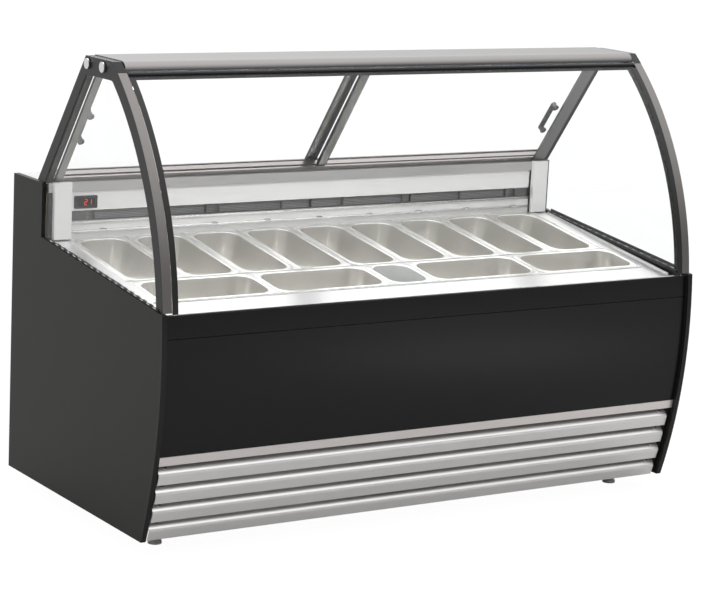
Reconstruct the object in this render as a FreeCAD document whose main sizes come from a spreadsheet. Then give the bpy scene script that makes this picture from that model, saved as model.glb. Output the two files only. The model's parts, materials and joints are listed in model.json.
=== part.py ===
import FreeCAD, Part
import math
import os

import Sketcher
from FreeCAD import Placement, Rotation, Vector

# Curved-glass scooping display freezer for ice cream in pans.
# Frame: X along the counter, Y from the customer side (-) to the server side (+), Z up.
# The origin is on the floor, under the middle of the cabinet. All lengths are millimetres.

DIMENSIONS = {
    # cabinet
    "overall_length": 1750,
    "side_thickness": 15,
    "floor_gap": 45,
    "back_y": 450,
    "worktop_z": 900,
    "step_y": 265,
    "step_z": 748,
    "front_top_z": 668,
    "front_radius": 1480,
    "front_centre_y": 1020,
    "front_centre_z": 535,
    "trim_thickness": 4,
    "left_post": 22,
    "rail_grip": 14,
    "deck_fold": 5,
    "right_post": 41,
    "skin_inset": 12,
    "panel_thickness": 12,
    "fascia_low_z": 601,
    "fascia_top_z": 660,
    "panel_low_z": 285,
    "strip_low_z": 260,
    "sheet": 2,
    # louvre
    "slat_pitch": 54,
    "slat_rise": 22,
    "slat_depth": 22,
    "slat_sheet": 1.6,
    "slat_half_length": 849,
    # glass arch
    "glass_radius": 885,
    "glass_centre_y": 435,
    "glass_centre_z": 596,
    "glass_thickness": 6,
    "glass_bottom_z": 664.5,
    "arch_bottom_z": 670,
    "arch_top_z": 1278,
    "arch_back_y": 29,
    "door_foot_y": 309,
    "door_foot_z": 901,
    "side_glass_x": 862,
    "ring_x": 842,
    "ring_front": 35,
    "ring_top": 50,
    "ring_back": 34,
    "strip_thickness": 3,
    "front_glass_x": 839,
    "hinge_angle": 47.75,
    "hinge_radius": 6,
    "pin_radius": 3,
    "pin_clearance": 0.05,
    # canopy
    "canopy_z": 1280,
    "canopy_sheet": 6,
    "canopy_nose": 25,
    "canopy_nose_y": -125,
    "canopy_x": 841,
    # doors, measured in the leaning plane of the door opening
    "door_lean": 36.6,
    "track_depth": 36,
    "track_top": 42,
    "track_floor": 34,
    "track_head": 446,
    "door_glass": 5,
    "left_door_y": -9,
    "right_door_y": -30,
    "handle_x": 785,
    "handle_low": 155,
    "handle_pitch": 95,
    # deck and pans, measured in the sloping plane of the deck
    "deck_y": -286,
    "deck_z": 665,
    "deck_slope": 8,
    "deck_half_width": 851,
    "pan_long": 360,
    "pan_short": 165,
    "pan_depth": 120,
    "pan_sheet": 1.2,
    "pan_rim": 10,
    "rim_corner": 24,
    "pan_corner": 38,
    "pan_draft": 3,
    "rim_seat": 5,
    "row_gap": 7,
    "rear_pitch": 177.5,
    "front_start": -791,
    "front_gap": 6,
    "small_width": 142,
    # tank
    "tank_front": -385,
    "tank_back": 398,
    "tank_floor": 452,
    "tank_x": 832,
    "wall": 38,
    "tank_back_z": 866,
    # duct wall behind the pans
    "duct_y": 256,
    "duct_x": 792,
    "slot_low": 788,
    "slot_high": 818,
    "slot_depth": 18,
    # feet
    "foot_x": 772,
    "foot_front_y": -262,
    "foot_back_y": 390,
    "foot_radius": 19,
    "stud_radius": 6,
    "stud_clearance": 0.06,
}

doc = FreeCAD.newDocument("display_freezer")
sheet = doc.addObject("Spreadsheet::Sheet", "Sheet")
for row, (alias, amount) in enumerate(DIMENSIONS.items(), start=1):
    sheet.set(f"A{row}", alias)
    sheet.set(f"B{row}", str(amount))
    sheet.setAlias(f"B{row}", alias)
doc.recompute()


class Size:
    """A number that also carries the sheet formula it comes from."""

    def __init__(self, text, value):
        self.text = text
        self.value = value

    def __add__(self, other):
        other = as_size(other)
        return Size(f"({self.text} + {other.text})", self.value + other.value)

    def __sub__(self, other):
        other = as_size(other)
        return Size(f"({self.text} - {other.text})", self.value - other.value)

    def __mul__(self, other):
        other = as_size(other)
        return Size(f"({self.text} * {other.text})", self.value * other.value)

    def __truediv__(self, other):
        other = as_size(other)
        return Size(f"({self.text} / {other.text})", self.value / other.value)

    def __neg__(self):
        return Size(f"(0 - {self.text})", -self.value)

    def __radd__(self, other):
        return as_size(other) + self

    def __rsub__(self, other):
        return as_size(other) - self

    def __rmul__(self, other):
        return as_size(other) * self


def as_size(number):
    if isinstance(number, Size):
        return number
    return Size(f"{number:.6f}", float(number))


def root(size):
    return Size(f"sqrt({size.text})", math.sqrt(size.value))


def cosine(degrees):
    degrees = as_size(degrees)
    return Size(f"cos({degrees.text} * 1 deg)", math.cos(math.radians(degrees.value)))


def sine(degrees):
    degrees = as_size(degrees)
    return Size(f"sin({degrees.text} * 1 deg)", math.sin(math.radians(degrees.value)))


class Named:
    """The sheet's cells as attributes."""


d = Named()
for alias, amount in DIMENSIONS.items():
    setattr(d, alias, Size(f"Sheet.{alias}", float(amount)))

PARTS = []


# ---------------------------------------------------------------- building blocks

def bind(target, prop, size):
    """Set a length or angle and tie it to the sheet."""
    size = as_size(size)
    setattr(target, prop, size.value)
    target.setExpression(prop, size.text)


def place(target, x=0, y=0, z=0, tilt=0):
    """Put a piece at x, y, z, turned about X by tilt degrees."""
    x, y, z, tilt = as_size(x), as_size(y), as_size(z), as_size(tilt)
    target.Placement = Placement(Vector(x.value, y.value, z.value), Rotation(Vector(1, 0, 0), tilt.value))
    for axis, size in (("x", x), ("y", y), ("z", z)):
        target.setExpression(f"Placement.Base.{axis}", size.text)
    return target


def new_body(label):
    body = doc.addObject("PartDesign::Body", label)
    body.Label = label
    body.AllowCompound = True
    PARTS.append(body)
    return body


def origin_plane(body, role):
    for feature in body.Origin.OriginFeatures:
        if feature.Role == role:
            return feature
    raise ValueError(role)


def arc_centre(start, end, radius):
    """Centre of the arc from start to end; a positive radius turns to the left."""
    chord = end - start
    half = chord.Length / 2
    height = math.sqrt(max(radius * radius - half * half, 0.0))
    left = Vector(-chord.y, chord.x, 0).normalize()
    side = 1 if radius > 0 else -1
    return (start + end) * 0.5 + left * height * side


class Drawing:
    """The lines, arcs and circles of one sketch with the constraints that size them."""

    def __init__(self):
        self.shapes = []
        self.links = []
        self.formulas = []

    def fix(self, kind, size, *where):
        self.formulas.append((len(self.links), size.text))
        self.links.append(Sketcher.Constraint(kind, *where, size.value))

    def loop(self, loop):
        """One closed outline. A corner is (x, y), or (x, y, radius) where an arc leads on."""
        corners = [tuple(as_size(number) for number in corner) for corner in loop]
        points = [Vector(corner[0].value, corner[1].value, 0) for corner in corners]
        ends = []
        for index, corner in enumerate(corners):
            start = points[index]
            end = points[(index + 1) % len(points)]
            ends.append(self.side(start, end, corner[2].value if len(corner) == 3 else 0))
        for index, corner in enumerate(corners):
            number, first, last = ends[index]
            following = ends[(index + 1) % len(ends)]
            self.links.append(Sketcher.Constraint("Coincident", number, last, following[0], following[1]))
            self.fix("DistanceX", corner[0], -1, 1, number, first)
            self.fix("DistanceY", corner[1], -1, 1, number, first)
            if len(corner) == 3:
                self.fix("Radius", corner[2] if corner[2].value > 0 else -corner[2], number)

    def side(self, start, end, radius):
        """A line, or an arc that turns left for a positive radius; its number and end marks."""
        number = len(self.shapes)
        if not radius:
            self.shapes.append(Part.LineSegment(start, end))
            return number, 1, 2
        centre = arc_centre(start, end, radius)
        first, last = (start, end) if radius > 0 else (end, start)
        begin = math.atan2(first.y - centre.y, first.x - centre.x)
        finish = math.atan2(last.y - centre.y, last.x - centre.x)
        if finish < begin:
            finish += 2 * math.pi
        circle = Part.Circle(centre, Vector(0, 0, 1), abs(radius))
        self.shapes.append(Part.ArcOfCircle(circle, begin, finish))
        return (number, 1, 2) if radius > 0 else (number, 2, 1)

    def circle(self, x, y, radius):
        x, y, radius = as_size(x), as_size(y), as_size(radius)
        number = len(self.shapes)
        self.shapes.append(Part.Circle(Vector(x.value, y.value, 0), Vector(0, 0, 1), radius.value))
        self.fix("DistanceX", x, -1, 1, number, 3)
        self.fix("DistanceY", y, -1, 1, number, 3)
        self.fix("Radius", radius, number)

    def finish(self, sketch):
        sketch.addGeometry(self.shapes, False)
        sketch.addConstraint(self.links)
        for number, text in self.formulas:
            sketch.setExpression(f"Constraints[{number}]", text)


def new_sketch(body, role, offset, loops=(), circles=()):
    sketch = body.newObject("Sketcher::SketchObject", f"{body.Name}_sketch")
    sketch.AttachmentSupport = [(origin_plane(body, role), "")]
    sketch.MapMode = "FlatFace"
    offset = as_size(offset)
    sketch.AttachmentOffset = Placement(Vector(0, 0, offset.value), Rotation())
    sketch.setExpression("AttachmentOffset.Base.z", offset.text)
    drawing = Drawing()
    for loop in loops:
        drawing.loop(loop)
    for circle in circles:
        drawing.circle(*circle)
    drawing.finish(sketch)
    return sketch


def pad(body, sketch, length, backwards=False, draft=0):
    feature = body.newObject("PartDesign::Pad", f"{body.Name}_pad")
    feature.Profile = sketch
    bind(feature, "Length", length)
    feature.Reversed = backwards
    if as_size(draft).value:
        bind(feature, "TaperAngle", draft)
    return feature


def pocket(body, sketch, length, backwards=False, draft=0):
    """Cut from the sketch plane against its normal, or along it when backwards."""
    feature = body.newObject("PartDesign::Pocket", f"{body.Name}_pocket")
    feature.Profile = sketch
    bind(feature, "Length", length)
    feature.Reversed = backwards
    if as_size(draft).value:
        bind(feature, "TaperAngle", draft)
    return feature


def along_x(body, start, end, loops, circles=(), cut=False):
    """Extrude outlines drawn in Y and Z from X = start to X = end."""
    sketch = new_sketch(body, "YZ_Plane", start, loops, circles)
    length = as_size(end) - start
    return pocket(body, sketch, length, True) if cut else pad(body, sketch, length)


def along_y(body, start, end, loops, circles=(), cut=False):
    """Extrude outlines drawn in X and Z from Y = start to Y = end."""
    sketch = new_sketch(body, "XZ_Plane", -as_size(start), loops, circles)
    length = as_size(end) - start
    return pocket(body, sketch, length) if cut else pad(body, sketch, length, True)


def along_z(body, start, end, loops, circles=(), cut=False):
    """Extrude outlines drawn in X and Y from Z = start to Z = end."""
    sketch = new_sketch(body, "XY_Plane", start, loops, circles)
    length = as_size(end) - start
    return pocket(body, sketch, length, True) if cut else pad(body, sketch, length)


def rectangle(x0, x1, y0, y1):
    return [(x0, y0), (x1, y0), (x1, y1), (x0, y1)]


def rounded(x0, x1, y0, y1, radius):
    x0, x1, y0, y1, radius = (as_size(number) for number in (x0, x1, y0, y1, radius))
    return [
        (x0 + radius, y0),
        (x1 - radius, y0, radius),
        (x1, y0 + radius),
        (x1, y1 - radius, radius),
        (x1 - radius, y1),
        (x0 + radius, y1, radius),
        (x0, y1 - radius),
        (x0, y0 + radius, radius),
    ]


def round_edges(body, feature, radius, wanted):
    """Fillet the edges of a feature for which wanted(edge) is true."""
    doc.recompute()
    names = [f"Edge{n}" for n, edge in enumerate(feature.Shape.Edges, start=1) if wanted(edge)]
    fillet = body.newObject("PartDesign::Fillet", f"{body.Name}_fillet")
    fillet.Base = (feature, names)
    bind(fillet, "Radius", radius)
    return fillet


def at_height(z):
    """True for edges that lie flat at height z."""
    def test(edge):
        box = edge.BoundBox
        return abs(box.ZMin - z) < 0.01 and abs(box.ZMax - z) < 0.01
    return test


def repeat(body, cuts, axis, pitch, count):
    """Repeat cuts along one of the body's own axes."""
    pattern = body.newObject("PartDesign::LinearPattern", f"{body.Name}_row")
    pattern.Originals = cuts
    pattern.Direction = (origin_plane(body, axis), [""])
    pattern.Occurrences = count
    bind(pattern, "Length", as_size(pitch) * (count - 1))
    body.Tip = pattern
    return pattern


def spin(body, loop):
    """Turn an outline drawn in X and Z about the body's own Z axis."""
    sketch = new_sketch(body, "XZ_Plane", 0, [loop])
    feature = body.newObject("PartDesign::Revolution", f"{body.Name}_turned")
    feature.Profile = sketch
    feature.ReferenceAxis = (sketch, ["V_Axis"])
    feature.Angle = 360
    return feature


def group(label, pieces):
    """Identical loose pieces kept together in one sub-part."""
    joined = doc.addObject("Part::Compound", label)
    joined.Label = label
    joined.Links = pieces
    PARTS.append(joined)
    return joined


def cylinder(name, radius, height, x, y, z, axis, turn):
    piece = doc.addObject("Part::Cylinder", name)
    bind(piece, "Radius", radius)
    bind(piece, "Height", height)
    x, y, z = as_size(x), as_size(y), as_size(z)
    piece.Placement = Placement(Vector(x.value, y.value, z.value), Rotation(axis, turn))
    for letter, size in (("x", x), ("y", y), ("z", z)):
        piece.setExpression(f"Placement.Base.{letter}", size.text)
    return piece


# ---------------------------------------------------------------- shared geometry

half = d.overall_length / 2
inner = half - d.side_thickness


def front_y(z, inset=0):
    """Y of the bulging front, set back by inset, at height z."""
    radius = d.front_radius - inset
    rise = as_size(z) - d.front_centre_z
    return d.front_centre_y - root(radius * radius - rise * rise)


def arch_y(z, inset=0):
    """Y of the curved front glass, set back by inset, at height z."""
    radius = d.glass_radius - inset
    rise = as_size(z) - d.glass_centre_z
    return d.glass_centre_y - root(radius * radius - rise * rise)


def side_line(y):
    """Height of the side panel's sloping top edge at y."""
    low_y = front_y(d.front_top_z)
    slope = (d.step_z - d.front_top_z) / (d.step_y - low_y)
    return d.front_top_z + (as_size(y) - low_y) * slope


def deck_height(y):
    """Height of the deck surface at y."""
    return d.deck_z + (as_size(y) - d.deck_y) * sine(d.deck_slope) / cosine(d.deck_slope)


def door_edge_y(z, inset=0):
    """Y of the leaning back edge, set forward by inset across the edge, at height z."""
    run = (d.arch_back_y - d.door_foot_y) / (d.arch_top_z - d.door_foot_z)
    return d.door_foot_y + (as_size(z) - d.door_foot_z) * run - as_size(inset) / cosine(d.door_lean)


def on_deck(body, u, v):
    """Stand a body on the sloping deck at u along X and v up the slope."""
    y = d.deck_y + as_size(v) * cosine(d.deck_slope)
    z = d.deck_z + as_size(v) * sine(d.deck_slope)
    return place(body, u, y, z, d.deck_slope)


def on_door(body):
    """Stand a body in the leaning door plane: y across it, z up it."""
    return place(body, 0, d.door_foot_y, d.door_foot_z, d.door_lean)


# ---------------------------------------------------------------- cabinet shell

def side_outline(inset):
    bottom = d.floor_gap
    return [
        (d.back_y, bottom),
        (d.back_y, d.worktop_z),
        (d.step_y, d.worktop_z),
        (d.step_y, d.step_z),
        (front_y(d.front_top_z, inset), d.front_top_z, d.front_radius - inset),
        (front_y(bottom, inset), bottom),
    ]


def build_side_panels():
    for label, start in (("left_side_panel", -half), ("right_side_panel", inner)):
        along_x(new_body(label), start, start + d.side_thickness, [side_outline(d.trim_thickness)])


def build_edge_trims():
    body = new_body("edge_trims")
    low = d.floor_gap
    top = d.front_top_z
    strip = [
        (front_y(top), top, d.front_radius),
        (front_y(low), low),
        (front_y(low, d.trim_thickness), low, d.trim_thickness - d.front_radius),
        (front_y(top, d.trim_thickness), top),
    ]
    for start in (-half, inner):
        along_x(body, start, start + d.side_thickness, [strip])


def skin(z0, z1, outer, thickness):
    """Outline of a curved front skin between two heights."""
    return [
        (front_y(z1, outer), z1, d.front_radius - outer),
        (front_y(z0, outer), z0),
        (front_y(z0, outer + thickness), z0, outer + thickness - d.front_radius),
        (front_y(z1, outer + thickness), z1),
    ]


def build_front():
    fascia = new_body("front_fascia")
    ledge_z = deck_height(-405) + 0.4
    thickness = 10
    outline = [
        (front_y(d.fascia_top_z, d.skin_inset), d.fascia_top_z, d.front_radius - d.skin_inset),
        (front_y(d.fascia_low_z, d.skin_inset), d.fascia_low_z),
        (front_y(d.fascia_low_z, d.skin_inset + thickness), d.fascia_low_z),
        (front_y(ledge_z, d.skin_inset + thickness), ledge_z),
        (-405, ledge_z),
        (-405, ledge_z + d.sheet),
        (front_y(ledge_z + d.sheet, d.skin_inset + thickness), ledge_z + d.sheet),
        (front_y(d.fascia_top_z, d.skin_inset + thickness), d.fascia_top_z),
    ]
    along_x(fascia, -inner, inner, [outline])
    panel = new_body("front_panel")
    panel_top = d.fascia_low_z - 1.5
    along_x(panel, -inner, inner, [skin(d.panel_low_z, panel_top, d.skin_inset, d.panel_thickness)])
    strip = new_body("front_strip")
    along_x(strip, -inner, inner, [skin(d.strip_low_z, d.panel_low_z - 0.5, d.skin_inset - 1, 5)])


def slat_corners(number):
    """Back top, nose and lower lip of one slat, counted from the top."""
    top = d.strip_low_z - 3 - d.slat_pitch * number
    nose = top - d.slat_rise
    lip = top - d.slat_pitch + 2
    back = (front_y(top, d.skin_inset + d.slat_depth), top)
    return back, (front_y(nose, d.skin_inset), nose), (front_y(lip, d.skin_inset + 1), lip)


def build_louvre():
    body = new_body("louvre_slats")
    for number in range(4):
        back, nose, lip = slat_corners(number)
        outline = [
            back,
            nose,
            lip,
            (lip[0] + d.slat_sheet, lip[1]),
            (nose[0] + d.slat_sheet, nose[1] - 0.7),
            (back[0], back[1] - d.slat_sheet * 1.4),
        ]
        feature = along_x(body, -d.slat_half_length, d.slat_half_length, [outline])
    noses = [slat_corners(number)[1] for number in range(4)]

    def near_nose(edge, shift):
        box = edge.BoundBox
        if box.XLength < 1000:
            return False
        for y, z in noses:
            if abs(box.YMin - y.value - shift[0]) < 0.2 and abs(box.ZMin - z.value - shift[1]) < 0.2:
                return True
        return False

    outer = round_edges(body, feature, 12, lambda edge: near_nose(edge, (0, 0)))
    inside = (d.slat_sheet.value, -0.7)
    round_edges(body, outer, 10.6, lambda edge: near_nose(edge, inside))

    brackets = new_body("louvre_brackets")
    low = d.floor_gap + 3
    high = d.strip_low_z - 2
    front = d.skin_inset + 6
    plate = [
        (front_y(high, front), high, d.front_radius - front),
        (front_y(low, front), low),
        (front_y(low, front) + 60, low),
        (front_y(high, front) + 40, high),
    ]
    for start in (-inner + 3, d.slat_half_length):
        along_x(brackets, start, start + 8, [plate])

    screws = []
    for number in range(4):
        back, nose = slat_corners(number)[:2]
        y = back[0] + (nose[0] - back[0]) * 0.35
        z = back[1] + (nose[1] - back[1]) * 0.35
        lean = math.degrees(math.atan2(back[0].value - nose[0].value, back[1].value - nose[1].value))
        for side in (-1, 1):
            name = f"screw_{number}_{'left' if side < 0 else 'right'}"
            screws.append(cylinder(name, 3.2, 1.5, d.slat_half_length * side - 24 * side, y, z,
                                   Vector(1, 0, 0), 90 - lean))
    group("louvre_screws", screws)


def build_back():
    panel = new_body("rear_panel")
    front = d.back_y - 5
    along_y(panel, front, front + d.sheet, [rectangle(-inner + 2, inner - 2, 50, d.worktop_z - 34)])
    slots = []
    for x in (-560, -160, 240):
        slot = rounded(x, x + 320, 110, 118, 3.9)
        slots.append(along_y(panel, front - 1, front + d.sheet + 1, [slot], cut=True))
    repeat(panel, slots, "Z_Axis", 20, 12)
    along_y(panel, front - 1, front + d.sheet + 1, [rectangle(700, 720, 780, 810)],
            circles=[(-650, 140, 12)], cut=True)

    worktop = new_body("rear_worktop")
    nose_y = d.duct_y - 6
    outline = [
        (nose_y, d.worktop_z - 27),
        (nose_y + d.sheet, d.worktop_z - 27),
        (nose_y + d.sheet, d.worktop_z - d.sheet),
        (d.back_y - d.sheet, d.worktop_z - d.sheet),
        (d.back_y - d.sheet, d.worktop_z - 32),
        (d.back_y, d.worktop_z - 32),
        (d.back_y, d.worktop_z),
        (nose_y, d.worktop_z),
    ]
    along_x(worktop, -inner + 1, inner - 1, [outline])


def build_light_switch():
    body = new_body("light_switch")
    feature = along_y(body, -5, 5, [rectangle(-9, 9, -13, 13)])
    round_edges(body, feature, 1.5, lambda edge: edge.BoundBox.YMin > 4.9)
    place(body, 710, d.back_y - 5.5, 795)


def build_base():
    body = new_body("base_frame")
    low = d.floor_gap + 3
    front, back = -290, d.back_y - 12
    along_z(body, low, low + 32, [rectangle(-inner + 4, inner - 4, front, back)])
    along_z(body, low + 3, low + 32, [rectangle(-inner + 7, inner - 7, front + 3, back - 3)], cut=True)
    posts = []
    for x in (-inner + 7, inner - 37):
        for y in (as_size(front + 3), back - 33):
            posts.append(rectangle(x, x + 30, y, y + 30))
    along_z(body, low + 2, d.tank_floor - d.wall - 0.5, posts)
    holes = []
    for x in (-d.foot_x, d.foot_x):
        for y in (d.foot_front_y, d.foot_back_y):
            holes.append((x, y, d.stud_radius + d.stud_clearance))
    along_z(body, low - 1, low + 4, [], circles=holes, cut=True)


def build_feet():
    places = {
        "foot_front_left": (-d.foot_x, d.foot_front_y),
        "foot_front_right": (d.foot_x, d.foot_front_y),
        "foot_back_left": (-d.foot_x, d.foot_back_y),
        "foot_back_right": (d.foot_x, d.foot_back_y),
    }
    for label, (x, y) in places.items():
        body = new_body(label)
        outline = [
            (0, 0),
            (d.foot_radius, 0),
            (d.foot_radius, 7),
            (d.foot_radius - 7, 16),
            (d.foot_radius - 7, 26),
            (d.stud_radius, 26),
            (d.stud_radius, 74),
            (0, 74),
        ]
        spin(body, outline)
        place(body, x, y, 0)


# ---------------------------------------------------------------- tank and duct

def build_tank():
    shell = new_body("tank_insulation")
    front = d.tank_front - d.wall
    back = d.tank_back + d.wall
    low = d.tank_floor - d.wall
    gap = 3
    outline = [
        (front, low),
        (back, low),
        (back, d.tank_back_z),
        (d.duct_y + 6, d.tank_back_z),
        (d.duct_y + 6, deck_height(d.duct_y + 6) - gap),
        (front, deck_height(front) - gap),
    ]
    along_x(shell, -inner + 2, inner - 2, [outline])
    hole = rectangle(d.tank_front, d.tank_back, d.tank_floor, d.tank_back_z + 40)
    along_x(shell, -d.tank_x, d.tank_x, [hole], cut=True)

    liner = new_body("tank_liner")
    outline = [
        (d.tank_front, d.tank_floor),
        (d.tank_back, d.tank_floor),
        (d.tank_back, d.tank_back_z),
        (d.duct_y + 6, d.tank_back_z),
        (d.duct_y + 6, deck_height(d.duct_y + 6) - gap),
        (d.tank_front, deck_height(d.tank_front) - gap),
    ]
    along_x(liner, -d.tank_x, d.tank_x, [outline])
    hole = rectangle(d.tank_front + d.sheet, d.tank_back - d.sheet, d.tank_floor + d.sheet,
                     d.tank_back_z + 40)
    along_x(liner, -d.tank_x + d.sheet, d.tank_x - d.sheet, [hole], cut=True)


def build_duct():
    panel = new_body("rear_duct_panel")
    y = d.duct_y
    t = d.sheet
    outline = [
        (y, 722),
        (y + t, 722),
        (y + t, d.slot_low - t),
        (y + d.slot_depth + t, d.slot_low - t),
        (y + d.slot_depth + t, d.slot_high + t),
        (y + t, d.slot_high + t),
        (y + t, d.worktop_z - 28),
        (y, d.worktop_z - 28),
        (y, d.slot_high),
        (y + d.slot_depth, d.slot_high),
        (y + d.slot_depth, d.slot_low),
        (y, d.slot_low),
    ]
    along_x(panel, -d.duct_x, d.duct_x, [outline])
    along_y(panel, y - 1, y + t + 1, [rectangle(-775, -710, 827, 857)], cut=True)

    grille = new_body("air_grille")
    along_y(grille, y + 4, y + 9,
            [rectangle(-d.duct_x + 2, d.duct_x - 2, d.slot_low + 0.5, d.slot_high - 0.5)])
    pitch = 212
    count = 7
    start = -pitch * count / 2
    gap = rectangle(start + 4, start + pitch, d.slot_low + 4, d.slot_high - 4)
    repeat(grille, [along_y(grille, y + 3, y + 10, [gap], cut=True)], "X_Axis", pitch, count)

    display = new_body("temperature_display")
    along_y(display, y - 3, y, [rounded(-778, -707, 824, 860, 3)])
    along_y(display, y, y + 24, [rectangle(-774, -711, 828, 856)])

    posts = new_body("corner_posts")
    for start in (-847, 794):
        along_z(posts, deck_height(d.duct_y) + 1, d.worktop_z + 2,
                [rectangle(start, start + 53, d.duct_y - 20, d.duct_y - 6.5)])


# ---------------------------------------------------------------- deck and pans

def build_deck():
    deck = new_body("deck_frame")
    low, high = -d.sheet, 0
    front_edge, back_edge = -128, 544
    seat = d.rim_seat
    rear_low = d.pan_short + d.row_gap
    rear_half = (d.rear_pitch * 8 + d.pan_short) / 2 - seat
    front_high = d.front_start + d.pan_long * 4 + d.front_gap * 4 + d.small_width
    openings = [
        rectangle(d.front_start + seat, front_high - seat, seat, d.pan_short - seat),
        rectangle(-rear_half, rear_half, rear_low + seat, rear_low + d.pan_long - seat),
    ]
    plate = rectangle(-d.deck_half_width, d.deck_half_width, front_edge, back_edge)
    along_z(deck, low, high, [plate] + openings)
    flanges = []
    for start in (-d.deck_half_width, d.deck_half_width - d.sheet):
        flanges.append(rectangle(start, start + d.sheet, front_edge + 40, back_edge - 26))
    along_z(deck, low, d.deck_fold, flanges)
    on_deck(deck, 0, 0)

    bars = new_body("pan_support_bars")
    front_bars = []
    edge = d.front_start + d.pan_long
    for width in (d.pan_long, d.small_width, d.pan_long, d.pan_long):
        front_bars.append(edge)
        edge = edge + d.front_gap + width
    webs = []
    flats = []
    for start in front_bars:
        middle = start + d.front_gap / 2
        reach = d.front_gap / 2 + seat
        flats.append(rectangle(middle - reach, middle + reach, seat, d.pan_short - seat))
        webs.append(rectangle(middle - 1.5, middle + 1.5, seat, d.pan_short - seat))
    for number in range(8):
        middle = d.rear_pitch * (number - 3.5)
        reach = (d.rear_pitch - d.pan_short) / 2 + seat
        flats.append(rectangle(middle - reach, middle + reach, rear_low + seat, rear_low + d.pan_long - seat))
        webs.append(rectangle(middle - 1.5, middle + 1.5, rear_low + seat, rear_low + d.pan_long - seat))
    along_z(bars, low, high, flats)
    along_z(bars, low - 16, low, webs)
    on_deck(bars, 0, 0)


def drafted(body, kind, half_x, half_y, corner, top, bottom):
    """A drafted block between two heights, its walls leaning in on the way down."""
    lean = (as_size(top) - bottom) * sine(d.pan_draft) / cosine(d.pan_draft)
    sketches = []
    for height, shrink in ((top, as_size(0)), (bottom, lean)):
        x, y = half_x - shrink, half_y - shrink
        outline = rounded(-x, x, -y, y, corner - shrink)
        sketches.append(new_sketch(body, "XY_Plane", height, [outline]))
    loft = body.newObject(f"PartDesign::{kind}Loft", f"{body.Name}_{kind.lower()}")
    loft.Profile = sketches[0]
    loft.Sections = [sketches[1]]
    loft.Ruled = True
    return loft


def build_pan(label, width, length, u, v):
    """A drawn pan with a flat rim, drafted walls and rounded corners; u, v is its middle."""
    x, y = as_size(width) / 2, as_size(length) / 2
    thickness = d.pan_sheet
    wall_x, wall_y = x - d.pan_rim, y - d.pan_rim
    outside = doc.addObject("PartDesign::Body", f"{label}_outside")
    along_z(outside, 0, thickness, [rounded(-x, x, -y, y, d.rim_corner)])
    tub = drafted(outside, "Additive", wall_x, wall_y, d.pan_corner, 0, -d.pan_depth)
    round_edges(outside, tub, 14, at_height(-d.pan_depth.value))
    inside = doc.addObject("PartDesign::Body", f"{label}_inside")
    hollow = drafted(inside, "Additive", wall_x - thickness, wall_y - thickness, d.pan_corner - thickness,
                     thickness, thickness - d.pan_depth)
    round_edges(inside, hollow, 12.8, at_height((thickness - d.pan_depth).value))
    pan = doc.addObject("Part::Cut", label)
    pan.Label = label
    pan.Base = outside
    pan.Tool = inside
    PARTS.append(pan)
    on_deck(pan, u, v)


def build_pans():
    rear_v = d.pan_short + d.row_gap + d.pan_long / 2
    for number in range(9):
        build_pan(f"rear_pan_{number + 1}", d.pan_short, d.pan_long, d.rear_pitch * (number - 4), rear_v)
    names = ("front_pan_1", "front_pan_2", "small_pan", "front_pan_3", "front_pan_4")
    edge = d.front_start
    for label in names:
        width = d.small_width if label == "small_pan" else d.pan_long
        build_pan(label, width, d.pan_short, edge + width / 2, d.pan_short / 2)
        edge = edge + width + d.front_gap


# ---------------------------------------------------------------- glass house

def arch_outline(inset):
    """The end arch above the cabinet, open to the sloping side below."""
    top = d.arch_top_z
    foot = d.arch_bottom_z
    return [
        (arch_y(foot, inset), foot),
        (d.step_y - 1, side_line(d.step_y - 1) + 1.5),
        (d.step_y - 1, d.door_foot_z),
        (d.door_foot_y, d.door_foot_z),
        (d.arch_back_y, top),
        (arch_y(top, inset), top, d.glass_radius - inset),
    ]


def build_side_glass():
    body = new_body("side_glass")
    for start in (-d.side_glass_x - d.glass_thickness, d.side_glass_x):
        along_x(body, start, start + d.glass_thickness, [arch_outline(d.strip_thickness)])


def build_end_frames():
    body = new_body("end_frames")
    top = d.arch_top_z
    foot = d.arch_bottom_z
    outer = d.strip_thickness
    deep = d.strip_thickness + d.ring_front
    under = top - d.ring_top
    heel = d.door_foot_z
    outline = [
        (arch_y(foot, outer), foot),
        (arch_y(foot + 5, deep), foot + 5, -(d.glass_radius - deep)),
        (arch_y(under, deep), under),
        (door_edge_y(under, d.ring_back), under),
        (door_edge_y(heel, d.ring_back), heel),
        (d.door_foot_y, heel),
        (d.arch_back_y, top),
        (arch_y(top, outer), top, d.glass_radius - outer),
    ]
    width = d.side_glass_x - d.ring_x
    for start in (-d.side_glass_x, d.ring_x):
        along_x(body, start, start + width, [outline])

    strips = new_body("arch_strips")
    curve = [
        (arch_y(top), top, d.glass_radius),
        (arch_y(foot), foot),
        (arch_y(foot, outer), foot, outer - d.glass_radius),
        (arch_y(top, outer), top),
    ]
    width = width + d.glass_thickness
    for start in (-d.ring_x - width, d.ring_x):
        along_x(strips, start, start + width, [curve])


def hinge_centre():
    radius = d.glass_radius - d.glass_thickness
    y = d.glass_centre_y - radius * cosine(d.hinge_angle)
    z = d.glass_centre_z + radius * sine(d.hinge_angle)
    return y, z


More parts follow.
